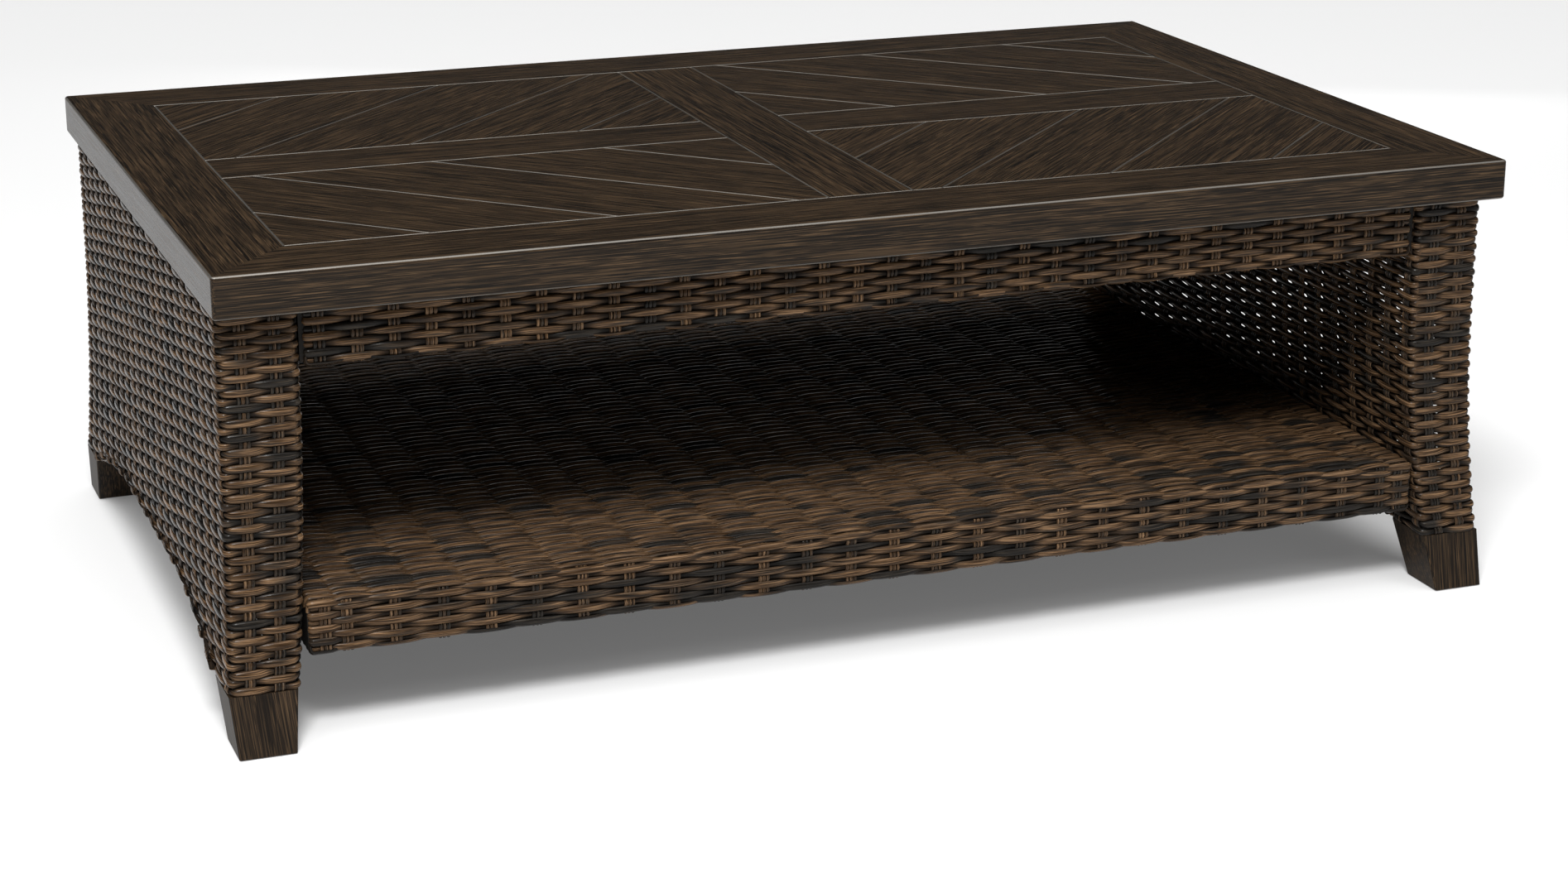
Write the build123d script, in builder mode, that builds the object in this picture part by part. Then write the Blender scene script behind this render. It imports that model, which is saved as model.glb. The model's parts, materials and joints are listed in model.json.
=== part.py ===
"""Wicker coffee table: slatted metal top on a resin-wicker base with an open shelf.

Origin on the floor under the middle of the table, +X along its length (right),
-Y towards the front, +Z up. Millimetres.
"""
import os

from build123d import *

# ---------------------------------------------------------------- driving sizes
LENGTH = 1270.0
DEPTH = 810.0
HEIGHT = 440.0

TOP_THICKNESS = 39.0
END_RAIL_WIDTH = 81.0
SIDE_RAIL_WIDTH = 86.0
CROSS_RAIL_WIDTH = 85.0
MID_RAIL_WIDTH = 83.0
INNER_RAIL_HEIGHT = 25.0
RAIL_WALL = 2.0
TOP_CORNER_RADIUS = 4.0
TOP_EDGE_RADIUS = 3.0
GROOVE = 1.0                # bevel on each side of every joint line in the top
SLAT_PITCH = 124.0
SLAT_THICKNESS = 5.0
SLATS_PER_FIELD = 5
BATTEN = 20.0
BATTEN_WALL = 1.6

SKIN = 5.0                  # thickness of the woven skin
PANEL_OUTER_X = 630.0       # outer face of an end panel, above its flare
PANEL_INNER_X = 555.0       # inner face of an end panel, above its flare
PANEL_FRONT_Y = 375.0       # front face of an end panel, above its flare
OUTER_FLARE = (330.0, 8.5)  # height where the flare begins, spread at the bottom
INNER_FLARE = (320.0, 17.0)
FRONT_FLARE = (260.0, 20.0)
PLUMB = (0.0, 0.0)          # no flare
WEAVE_BOTTOM = 54.0
ARCH_CROWN = 90.0
ARCH_FLAT = 110.0           # half length of the level middle of the arch
ARCH_FOOT = 325.0           # half span of the arch

TUBE = 20.0
TUBE_WALL = 1.6
PLATE = 5.0
SHELF_RAIL_Z = (95.0, 115.0)

APRON_BOTTOM = 343.0
APRON_FRONT_Y = 373.0
APRON_BACK_Y = 346.0
APRON_HALF = 552.0
APRON_PLATE = 3.0
TAB_REACH = 26.0
TAB_X = (150.0, 450.0)
TAB_WIDTH = 30.0

SHELF_BOTTOM = 79.0
SHELF_TOP = 132.0
SHELF_FRONT_Y = 385.0
SHELF_HALF = 562.0
SHELF_RETURN = 45.0         # how far the front weave turns under the shelf
SHELF_BARS_X = (-280.0, 0.0, 280.0)
SHELF_BOLT_Y = (-300.0, -100.0, 100.0, 300.0)
SHELF_BOLT_Z = 105.0
BOSS = 3.0
BOSS_RADIUS = 7.0

FOOT_TOP = ((575.0, 637.5), (331.0, 393.0))
FOOT_FLOOR = ((582.0, 634.0), (356.0, 411.0))
FOOT_WALL = 3.0
FOOT_CAP = 6.0
GLIDE_STAND = 1.0
GLIDE_DEPTH = 8.0

BOLT = 6.0
BOLT_HOLE = 6.5
BOLT_HEAD = 10.0
BOLT_HEAD_HEIGHT = 4.0

# ---------------------------------------------------------------- derived sizes
TOP_BOTTOM = HEIGHT - TOP_THICKNESS
FIELD_X = LENGTH / 2 - END_RAIL_WIDTH
FIELD_Y = DEPTH / 2 - SIDE_RAIL_WIDTH
POST_Y = PANEL_FRONT_Y - SKIN
RAIL_Z = TOP_BOTTOM - TUBE
APRON_BOLT_Y = APRON_BACK_Y - TAB_REACH / 2
APRON_BOLT_Z = (TOP_BOTTOM - TUBE / 2, TOP_BOTTOM - 2 * TUBE)
SIDES = {"left": -1, "right": 1}
ENDS = {"front": -1, "back": 1}


def save(part, name):
    """Label one finished piece and write it to its own file."""
    part.label = name
    export_step(part, f"parts/{name}.step")


def spread_at(flare, z):
    """How far a flared face stands out at height z: plumb above, then a tangent arc."""
    start, spread = flare
    if z >= start or spread == 0:
        return 0.0
    drop = start - WEAVE_BOTTOM
    radius = (drop**2 + spread**2) / (2 * spread)
    return radius - (radius**2 - (start - z) ** 2) ** 0.5


def flare_edge(face, flare, low=WEAVE_BOTTOM, high=TOP_BOTTOM):
    """Points down one flared face, as a plumb line and a three-point arc."""
    start = min(flare[0], high)
    middle = (start + low) / 2
    return [(face + spread_at(flare, z), z) for z in (high, start, middle, low)]


def flared_band(inner, outer, low=WEAVE_BOTTOM, high=TOP_BOTTOM):
    """Sketch face between two flared faces, each given as (position, flare)."""
    a = flare_edge(*inner, low, high)
    b = flare_edge(*outer, low, high)
    with BuildSketch(mode=Mode.PRIVATE) as band:
        with BuildLine():
            for edge, flare in ((a, inner[1]), (b, outer[1])):
                if flare[1] == 0:
                    Line(edge[0], edge[3])
                    continue
                if edge[1][1] < high:
                    Line(edge[0], edge[1])
                ThreePointArc(*edge[1:])
            Line(a[0], b[0])
            Line(a[3], b[3])
        make_face()
    return band.sketch


def arch_line(raise_by=0.0):
    """Lower edge of an end panel: level in the middle, then an arc down to each leg."""
    crown = ARCH_CROWN + raise_by
    foot = WEAVE_BOTTOM + raise_by
    run = ARCH_FOOT - ARCH_FLAT
    half = ARCH_FLAT + run / 2
    radius = (run**2 + (crown - foot) ** 2) / (2 * (crown - foot))
    knee = crown - (radius - (radius**2 - (run / 2) ** 2) ** 0.5)
    with BuildLine(mode=Mode.PRIVATE) as line:
        Line((-ARCH_FLAT, crown), (ARCH_FLAT, crown))
        ThreePointArc((ARCH_FLAT, crown), (half, knee), (ARCH_FOOT, foot))
        ThreePointArc((-ARCH_FLAT, crown), (-half, knee), (-ARCH_FOOT, foot))
    return line.line


def side_outline():
    """Sketch of an end panel seen from the side: flared legs with the arch between."""
    edge = flare_edge(PANEL_FRONT_Y, FRONT_FLARE)
    back = [(-y, z) for y, z in edge]
    with BuildSketch(mode=Mode.PRIVATE) as outline:
        with BuildLine():
            add(arch_line())
            for side in (edge, back):
                Line(side[0], side[1])
                ThreePointArc(*side[1:])
            Line(edge[0], back[0])
            Line(edge[3], (ARCH_FOOT, WEAVE_BOTTOM))
            Line(back[3], (-ARCH_FOOT, WEAVE_BOTTOM))
        make_face()
    return outline.sketch


def arch_strip(low, high, reach=ARCH_FOOT):
    """Sketch of a strip that follows the arch and runs level into the legs up to reach."""
    with BuildSketch(mode=Mode.PRIVATE) as strip:
        with BuildLine():
            for sign in (-1, 1):
                for rise in (low, high):
                    if reach > ARCH_FOOT:
                        Line((sign * ARCH_FOOT, WEAVE_BOTTOM + rise), (sign * reach, WEAVE_BOTTOM + rise))
                Line((sign * reach, WEAVE_BOTTOM + low), (sign * reach, WEAVE_BOTTOM + high))
            add(arch_line(low))
            add(arch_line(high))
        make_face()
    return strip.sketch


def crossed(xz, yz):
    """Solid common to a front-view sketch and a side-view sketch, right-hand side."""
    with BuildPart(mode=Mode.PRIVATE) as solid:
        with BuildSketch(Plane.XZ):
            add(xz)
        extrude(amount=DEPTH / 2, both=True)
        with BuildSketch(Plane.YZ):
            add(yz)
        extrude(amount=LENGTH, mode=Mode.INTERSECT)
    return solid.part


def save_sided(part, side, name):
    """Save a right-hand piece on its own side, mirrored for the left."""
    save(part if side == "right" else mirror(part, about=Plane.YZ), f"{side}_{name}")


# ---------------------------------------------------------------- table top
def mitre(depth_from, depth_to, length, depth, width, cross_width):
    """Plan corners of a mitred rail between two distances from its outer edge."""
    slope = cross_width / width
    points = []
    for inset, sign in ((depth_from, -1), (depth_from, 1), (depth_to, 1), (depth_to, -1)):
        points.append((sign * (length / 2 - inset * slope), -depth / 2 + inset))
    return points


def frame_rail(name, turn, length, depth, width, cross_width, bolts):
    """One hollow rail of the top's mitred frame, its ends cut towards the inner corners."""
    plane = Plane.XY.rotated((0, 0, turn))
    with BuildPart() as rail:
        with BuildSketch(Plane.XY.offset(TOP_BOTTOM)):
            RectangleRounded(LENGTH, DEPTH, TOP_CORNER_RADIUS)
        extrude(amount=TOP_THICKNESS)
        fillet(rail.edges().group_by(Axis.Z)[-1] + rail.edges().group_by(Axis.Z)[0], TOP_EDGE_RADIUS)
        with BuildSketch(plane.offset(TOP_BOTTOM)):
            Polygon(*mitre(0, width, length, depth, width, cross_width), align=None)
        extrude(amount=TOP_THICKNESS, mode=Mode.INTERSECT)
        inner = rail.edges().group_by(Axis.Z)[-1].sort_by(lambda e: abs(plane.to_local_coords(e.center()).Y))
        chamfer(inner[0], GROOVE)
        with BuildSketch(plane.offset(TOP_BOTTOM + RAIL_WALL)):
            Polygon(*mitre(RAIL_WALL, width - RAIL_WALL, length, depth, width, cross_width), align=None)
        extrude(amount=TOP_THICKNESS - 2 * RAIL_WALL, mode=Mode.SUBTRACT)
        if bolts:
            with BuildSketch(plane.offset(TOP_BOTTOM)):
                with Locations(*[(s * x, -APRON_BOLT_Y) for s in (-1, 1) for x in TAB_X]):
                    Circle(BOLT_HOLE / 2)
            extrude(amount=RAIL_WALL, mode=Mode.SUBTRACT)
    save(rail.part, name)


def inner_rail(name, x_range, y_range, along):
    """A hollow rail inside the frame, open at its two ends, with bevelled top edges."""
    size_x = x_range[1] - x_range[0]
    size_y = y_range[1] - y_range[0]
    centre = (sum(x_range) / 2, sum(y_range) / 2)
    bore = INNER_RAIL_HEIGHT - 2 * RAIL_WALL
    with BuildPart() as rail:
        with BuildSketch(Plane.XY.offset(HEIGHT - INNER_RAIL_HEIGHT)):
            with Locations(centre):
                Rectangle(size_x, size_y)
        extrude(amount=INNER_RAIL_HEIGHT)
        chamfer(rail.edges().group_by(Axis.Z)[-1], GROOVE)
        with BuildSketch(Plane.XY.offset(HEIGHT - INNER_RAIL_HEIGHT + RAIL_WALL)):
            with Locations(centre):
                if along == "x":
                    Rectangle(size_x, size_y - 2 * RAIL_WALL)
                else:
                    Rectangle(size_x - 2 * RAIL_WALL, size_y)
        extrude(amount=bore, mode=Mode.SUBTRACT)
    save(rail.part, name)


def slat_field(end, side):
    """The diagonal slats of one quarter of the top; they point at the table's middle line."""
    size_x = FIELD_X - CROSS_RAIL_WIDTH / 2
    size_y = FIELD_Y - MID_RAIL_WIDTH / 2
    centre_x = SIDES[side] * (FIELD_X + CROSS_RAIL_WIDTH / 2) / 2
    centre_y = ENDS[end] * (FIELD_Y + MID_RAIL_WIDTH / 2) / 2
    tilt = 45 * SIDES[side] * ENDS[end]
    field = Plane((centre_x, centre_y, HEIGHT - SLAT_THICKNESS))
    for index in range(SLATS_PER_FIELD):
        shift = (index - (SLATS_PER_FIELD - 1) / 2) * SLAT_PITCH
        with BuildPart() as slat:
            with BuildSketch(field):
                with Locations(Rotation(0, 0, tilt) * Location((shift, 0))):
                    Rectangle(SLAT_PITCH, LENGTH)
                Rectangle(size_x, size_y, mode=Mode.INTERSECT)
            extrude(amount=SLAT_THICKNESS)
            chamfer(slat.faces().sort_by(Axis.Z)[-1].edges(), GROOVE)
        save(slat.part, f"slat_{end}_{side}_{index + 1}")


def batten(end, side):
    """Square tube under the middle of one field of slats, from end rail to cross rail."""
    size_x = FIELD_X - CROSS_RAIL_WIDTH / 2
    centre_x = SIDES[side] * (FIELD_X + CROSS_RAIL_WIDTH / 2) / 2
    centre_y = ENDS[end] * (FIELD_Y + MID_RAIL_WIDTH / 2) / 2
    with BuildPart() as tube:
        with BuildSketch(Plane((centre_x, centre_y, HEIGHT - SLAT_THICKNESS - BATTEN / 2), z_dir=(1, 0, 0))):
            Rectangle(BATTEN, BATTEN)
            Rectangle(BATTEN - 2 * BATTEN_WALL, BATTEN - 2 * BATTEN_WALL, mode=Mode.SUBTRACT)
        extrude(amount=size_x / 2, both=True)
    save(tube.part, f"batten_{end}_{side}")


def make_top():
    frame_rail("top_rail_front", 0, LENGTH, DEPTH, SIDE_RAIL_WIDTH, END_RAIL_WIDTH, True)
    frame_rail("top_rail_back", 180, LENGTH, DEPTH, SIDE_RAIL_WIDTH, END_RAIL_WIDTH, True)
    frame_rail("top_rail_right", 90, DEPTH, LENGTH, END_RAIL_WIDTH, SIDE_RAIL_WIDTH, False)
    frame_rail("top_rail_left", -90, DEPTH, LENGTH, END_RAIL_WIDTH, SIDE_RAIL_WIDTH, False)
    half_cross = CROSS_RAIL_WIDTH / 2
    half_mid = MID_RAIL_WIDTH / 2
    inner_rail("top_cross_rail", (-half_cross, half_cross), (-FIELD_Y, FIELD_Y), "y")
    inner_rail("top_mid_rail_right", (half_cross, FIELD_X), (-half_mid, half_mid), "x")
    inner_rail("top_mid_rail_left", (-FIELD_X, -half_cross), (-half_mid, half_mid), "x")
    for end in ENDS:
        for side in SIDES:
            slat_field(end, side)
            batten(end, side)


# ---------------------------------------------------------------- end panels
def bolt_points(y, heights):
    """Where bolts cross an end panel's inner face, as (y, z)."""
    return [(s * y, z) for s in (-1, 1) for z in heights]


def inner_face_holes():
    """Sketch of every bolt hole through an end panel's inner face."""
    with BuildSketch(mode=Mode.PRIVATE) as holes:
        shelf = [(y, SHELF_BOLT_Z) for y in SHELF_BOLT_Y]
        with Locations(*bolt_points(APRON_BOLT_Y, APRON_BOLT_Z), *shelf):
            Circle(BOLT_HOLE / 2)
    return holes.sketch


def end_skins(side):
    """The woven skin of an end panel: outer and inner faces, leg faces and arch strip."""
    outer = (PANEL_OUTER_X, OUTER_FLARE)
    inner = (PANEL_INNER_X, INNER_FLARE)
    behind_outer = (PANEL_OUTER_X - SKIN, OUTER_FLARE)
    behind_inner = (PANEL_INNER_X + SKIN, INNER_FLARE)
    front = (PANEL_FRONT_Y, FRONT_FLARE)
    behind_front = (PANEL_FRONT_Y - SKIN, FRONT_FLARE)
    between = flared_band(behind_inner, behind_outer)

    save_sided(crossed(flared_band(behind_outer, outer), side_outline()), side, "weave_outer")

    with BuildPart() as inside:
        add(crossed(flared_band(inner, behind_inner), side_outline()))
        with BuildSketch(Plane.YZ):
            add(inner_face_holes())
        extrude(amount=LENGTH, mode=Mode.SUBTRACT)
    save_sided(inside.part, side, "weave_inner")

    back = crossed(between, flared_band(behind_front, front))
    save_sided(back, side, "weave_back")
    save_sided(mirror(back, about=Plane.XZ), side, "weave_front")

    save_sided(crossed(between, arch_strip(0, SKIN)), side, "weave_bottom")


def bent_tube(inner_x, x_flare, inner_y):
    """A square tube bent to both flares: a corner post of the end frame."""
    walls = []
    for inset in (0, TUBE_WALL):
        x_band = flared_band((inner_x + inset, x_flare), (inner_x + TUBE - inset, x_flare))
        y_band = flared_band((inner_y + inset, FRONT_FLARE), (inner_y + TUBE - inset, FRONT_FLARE))
        walls.append(crossed(x_band, y_band))
    return walls[0] - walls[1]


def end_frame(side):
    """Welded frame hidden in an end panel: posts, rails, arch bars, foot plates, gussets."""
    outer_x = PANEL_OUTER_X - SKIN - TUBE
    inner_x = PANEL_INNER_X + SKIN
    inner_y = POST_Y - TUBE
    foot_x = sum(FOOT_TOP[0]) / 2
    foot_y = sum(FOOT_TOP[1]) / 2
    with BuildPart() as frame:
        for x, flare in ((outer_x, OUTER_FLARE), (inner_x, INNER_FLARE)):
            post = bent_tube(x, flare, inner_y)
            add(post)
            add(mirror(post, about=Plane.XZ))
            with BuildSketch(Plane.XZ.offset(-inner_y)):
                with Locations((x + TUBE / 2, RAIL_Z + TUBE / 2)):
                    Rectangle(TUBE, TUBE)
                    Rectangle(TUBE - 2 * TUBE_WALL, TUBE - 2 * TUBE_WALL, mode=Mode.SUBTRACT)
            extrude(amount=2 * inner_y)
        for x, flare in ((outer_x + TUBE - PLATE, OUTER_FLARE), (inner_x, INNER_FLARE)):
            bar = flared_band((x, flare), (x + PLATE, flare))
            add(crossed(bar, arch_strip(SKIN, SKIN + TUBE, POST_Y)))
        shelf_rail = flared_band((inner_x, INNER_FLARE), (inner_x + TUBE, INNER_FLARE), *SHELF_RAIL_Z)
        with BuildSketch(Plane.XZ.offset(-inner_y)):
            add(shelf_rail)
        extrude(amount=2 * inner_y)
        for sign in (-1, 1):
            tie_y = sign * (inner_y + TUBE / 2)
            with BuildSketch(Plane((inner_x + TUBE, tie_y, RAIL_Z + TUBE / 2), z_dir=(1, 0, 0))):
                Rectangle(TUBE, TUBE)
            extrude(amount=outer_x - inner_x - TUBE)
            gusset_y = sign * (inner_y - TUBE)
            with BuildSketch(Plane((inner_x, gusset_y, RAIL_Z - TUBE), z_dir=(1, 0, 0))):
                Rectangle(2 * TUBE, 2 * TUBE)
            extrude(amount=PLATE)
        plate_z = (WEAVE_BOTTOM, WEAVE_BOTTOM + PLATE)
        plate = crossed(
            flared_band((inner_x, INNER_FLARE), (outer_x + TUBE, OUTER_FLARE), *plate_z),
            flared_band((ARCH_FOOT + PLATE, PLUMB), (POST_Y, FRONT_FLARE), *plate_z),
        )
        add(plate)
        add(mirror(plate, about=Plane.XZ))
        with BuildSketch(Plane.XY.offset(WEAVE_BOTTOM)):
            with Locations((foot_x, foot_y), (foot_x, -foot_y)):
                Circle(BOLT_HOLE / 2)
        extrude(amount=2 * PLATE, mode=Mode.SUBTRACT)
        with BuildSketch(Plane.YZ.offset(inner_x - PLATE)):
            add(inner_face_holes())
        extrude(amount=TUBE + 2 * PLATE, mode=Mode.SUBTRACT)
    save_sided(frame.part, side, "end_frame")


# ---------------------------------------------------------------- aprons
def apron(end):
    """Apron under one long side: a tube with end plates and tabs, in a woven sleeve."""
    tube_low = APRON_BOTTOM + SKIN
    tube_front = APRON_FRONT_Y - SKIN
    tube_back = APRON_BACK_Y + SKIN
    middle = (tube_front + tube_back) / 2
    depth = tube_front - tube_back
    height = TOP_BOTTOM - tube_low
    turn = Plane.XY if end == "front" else Plane.XY.rotated((0, 0, 180))
    with BuildPart() as rail:
        with BuildSketch(Plane.YZ):
            with Locations((-middle, tube_low + height / 2)):
                Rectangle(depth, height)
                Rectangle(depth - 2 * TUBE_WALL, height - 2 * TUBE_WALL, mode=Mode.SUBTRACT)
        extrude(amount=APRON_HALF, both=True)
        reach = APRON_BACK_Y - TAB_REACH
        for sign in (-1, 1):
            with BuildSketch(Plane.YZ.offset(sign * (APRON_HALF + APRON_PLATE / 2))):
                with Locations((-(tube_front + reach) / 2, tube_low + height / 2)):
                    Rectangle(tube_front - reach, height)
                with Locations(*[(-APRON_BOLT_Y, z) for z in APRON_BOLT_Z]):
                    Circle(BOLT_HOLE / 2, mode=Mode.SUBTRACT)
            extrude(amount=APRON_PLATE / 2, both=True)
        tab_y = -(tube_back + reach) / 2
        with BuildSketch(Plane.XY.offset(TOP_BOTTOM - APRON_PLATE)):
            with Locations(*[(s * x, tab_y) for s in (-1, 1) for x in TAB_X]):
                Rectangle(TAB_WIDTH, tube_back - reach)
            with Locations(*[(s * x, -APRON_BOLT_Y) for s in (-1, 1) for x in TAB_X]):
                Circle(BOLT_HOLE / 2, mode=Mode.SUBTRACT)
        extrude(amount=APRON_PLATE)
    save(rail.part.moved(turn.location), f"apron_rail_{end}")

    with BuildPart() as sleeve:
        with BuildSketch(Plane.YZ):
            with BuildLine():
                Polyline(
                    (-APRON_FRONT_Y, TOP_BOTTOM),
                    (-APRON_FRONT_Y, APRON_BOTTOM),
                    (-APRON_BACK_Y, APRON_BOTTOM),
                    (-APRON_BACK_Y, TOP_BOTTOM - APRON_PLATE),
                    (-tube_back, TOP_BOTTOM - APRON_PLATE),
                    (-tube_back, tube_low),
                    (-tube_front, tube_low),
                    (-tube_front, TOP_BOTTOM),
                    close=True,
                )
            make_face()
        extrude(amount=APRON_HALF, both=True)
        fillet(sleeve.edges().filter_by(Axis.X).group_by(Axis.Z)[0], SKIN - 1)
    save(sleeve.part.moved(turn.location), f"apron_weave_{end}")


# ---------------------------------------------------------------- shelf
def shelf_frame():
    """Welded shelf frame: tall edge tubes, cross bars, and bosses for the end bolts."""
    low = SHELF_BOTTOM + SKIN
    high = SHELF_TOP - SKIN
    half_y = SHELF_FRONT_Y - SKIN
    wall = TUBE_WALL
    with BuildPart() as frame:
        with BuildSketch(Plane.XY.offset(low)):
            Rectangle(2 * SHELF_HALF, 2 * half_y)
            Rectangle(2 * (SHELF_HALF - TUBE), 2 * (half_y - TUBE), mode=Mode.SUBTRACT)
            with Locations(*[(x, 0) for x in SHELF_BARS_X]):
                Rectangle(TUBE, 2 * (half_y - TUBE))
        extrude(amount=high - low)
        with BuildSketch(Plane.XY.offset(low)):
            with Locations(*[(x, 0) for x in SHELF_BARS_X]):
                Rectangle(TUBE, 2 * (half_y - TUBE))
        extrude(amount=high - low - TUBE, mode=Mode.SUBTRACT)
        with BuildSketch(Plane.XY.offset(low + wall)):
            Rectangle(2 * (SHELF_HALF - wall), 2 * (half_y - wall))
            Rectangle(2 * (SHELF_HALF - TUBE + wall), 2 * (half_y - TUBE + wall), mode=Mode.SUBTRACT)
        extrude(amount=high - low - 2 * wall, mode=Mode.SUBTRACT)
        for sign in (-1, 1):
            with BuildSketch(Plane((sign * SHELF_HALF, 0, 0), x_dir=(0, sign, 0), z_dir=(sign, 0, 0))):
                with Locations(*[(y, SHELF_BOLT_Z) for y in SHELF_BOLT_Y]):
                    Circle(BOSS_RADIUS)
            extrude(amount=BOSS)
        with BuildSketch(Plane.YZ):
            with Locations(*[(y, SHELF_BOLT_Z) for y in SHELF_BOLT_Y]):
                Circle(BOLT_HOLE / 2)
        extrude(amount=SHELF_HALF + BOSS, both=True, mode=Mode.SUBTRACT)
    save(frame.part, "shelf_frame")


def shelf_weaves():
    """Woven shelf skin: the flat top, and an edge wrap that turns under at front and back."""
    with BuildPart() as top:
        with BuildSketch(Plane.XY.offset(SHELF_TOP - SKIN)):
            Rectangle(2 * SHELF_HALF, 2 * (SHELF_FRONT_Y - SKIN))
        extrude(amount=SKIN)
    save(top.part, "shelf_weave_top")

    y = SHELF_FRONT_Y
    with BuildPart() as wrap:
        with BuildSketch(Plane.YZ):
            with BuildLine():
                Polyline(
                    (-y, SHELF_TOP),
                    (-y, SHELF_BOTTOM),
                    (-y + SHELF_RETURN, SHELF_BOTTOM),
                    (-y + SHELF_RETURN, SHELF_BOTTOM + SKIN),
                    (-y + SKIN, SHELF_BOTTOM + SKIN),
                    (-y + SKIN, SHELF_TOP),
                    close=True,
                )
            make_face()
        extrude(amount=SHELF_HALF, both=True)
        fillet(wrap.edges().filter_by(Axis.X).sort_by(Axis.Y)[0:2], SKIN - 1)
    save(wrap.part, "shelf_weave_front")
    save(mirror(wrap.part, about=Plane.XZ), "shelf_weave_back")


# ---------------------------------------------------------------- feet
def tapered(shrink, floor_z, top_z):
    """Loft between the foot's top and floor outlines, both drawn in by shrink."""
    with BuildPart(mode=Mode.PRIVATE) as block:
        for z in (floor_z, top_z):
            share = z / WEAVE_BOTTOM
            (x0, x1), (y0, y1) = [
                [f + (t - f) * share for f, t in zip(floor, top)]
                for floor, top in zip(FOOT_FLOOR, FOOT_TOP)
            ]
            with BuildSketch(Plane.XY.offset(z)):
                with Locations(((x0 + x1) / 2, (y0 + y1) / 2)):
                    Rectangle(x1 - x0 - 2 * shrink, y1 - y0 - 2 * shrink)
        loft()
    return block.part


def make_feet():
    """Hollow splayed feet, a plug glide in each, and the bolt that holds each foot."""
    bolt_x = sum(FOOT_TOP[0]) / 2
    bolt_y = sum(FOOT_TOP[1]) / 2
    shoulder = WEAVE_BOTTOM - FOOT_CAP
    with BuildPart() as foot:
        add(tapered(0, GLIDE_STAND, WEAVE_BOTTOM))
        upright = [e for e in foot.edges() if abs(e.tangent_at(0.5).Z) > 0.7]
        fillet(upright, 2.0)
        add(tapered(FOOT_WALL, GLIDE_STAND, shoulder), mode=Mode.SUBTRACT)
        with BuildSketch(Plane.XY.offset(shoulder)):
            with Locations((bolt_x, bolt_y)):
                Circle(BOLT_HOLE / 2)
        extrude(amount=FOOT_CAP, mode=Mode.SUBTRACT)
    glide = tapered(FOOT_WALL, 0, GLIDE_DEPTH)
    with BuildPart() as bolt:
        with BuildSketch(Plane.XY.offset(shoulder - BOLT_HEAD_HEIGHT)):
            with Locations((bolt_x, bolt_y)):
                Circle(BOLT_HEAD / 2)
        extrude(amount=BOLT_HEAD_HEIGHT)
        with BuildSketch(Plane.XY.offset(shoulder)):
            with Locations((bolt_x, bolt_y)):
                Circle(BOLT / 2)
        extrude(amount=FOOT_CAP + 2 * PLATE)

    groups = {"foot_glides": [], "foot_bolts": []}
    for end, y_sign in ENDS.items():
        for side, x_sign in SIDES.items():
            placed = []
            for shape in (foot.part, glide, bolt.part):
                if x_sign < 0:
                    shape = mirror(shape, about=Plane.YZ)
                if y_sign < 0:
                    shape = mirror(shape, about=Plane.XZ)
                placed.append(shape)
            save(placed[0], f"foot_{end}_{side}")
            groups["foot_glides"].append(placed[1].solid())
            groups["foot_bolts"].append(placed[2].solid())
    for name, solids in groups.items():
        save(Compound(children=solids), name)


# ---------------------------------------------------------------- bolts
def bolt_group(name, seats, length):
    """Socket bolts, one per seat: a plane on the clamped face, looking along the shank."""
    with BuildPart() as bolts:
        for seat in seats:
            with BuildSketch(seat):
                Circle(BOLT / 2)
            extrude(amount=length)
            with BuildSketch(seat):
                Circle(BOLT_HEAD / 2)
                RegularPolygon(BOLT / 3, 6, mode=Mode.SUBTRACT)
            extrude(amount=-BOLT_HEAD_HEIGHT)
    save(bolts.part, name)


def make_bolts():
    apron_seats = [
        Plane((side * APRON_HALF, y, z), z_dir=(side, 0, 0))
        for side in (-1, 1)
        for y, z in bolt_points(APRON_BOLT_Y, APRON_BOLT_Z)
    ]
    bolt_group("apron_bolts", apron_seats, APRON_PLATE + SKIN + 2 * PLATE)
    shelf_seats = [
        Plane((side * (SHELF_HALF - TUBE), y, SHELF_BOLT_Z), z_dir=(side, 0, 0))
        for side in (-1, 1)
        for y in SHELF_BOLT_Y
    ]
    bolt_group("shelf_bolts", shelf_seats, 2 * TUBE)
    top_seats = [
        Plane((side * x, end * APRON_BOLT_Y, TOP_BOTTOM - APRON_PLATE), z_dir=(0, 0, 1))
        for side in (-1, 1)
        for x in TAB_X
        for end in (-1, 1)
    ]
    bolt_group("top_bolts", top_seats, 4 * PLATE)


os.makedirs("parts", exist_ok=True)
make_top()
for panel_side in SIDES:
    end_skins(panel_side)
    end_frame(panel_side)
for apron_end in ENDS:
    apron(apron_end)
shelf_frame()
shelf_weaves()
make_feet()
make_bolts()
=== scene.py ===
"""Looks of the wicker coffee table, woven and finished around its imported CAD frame. Metres."""
import json
import math

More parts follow.
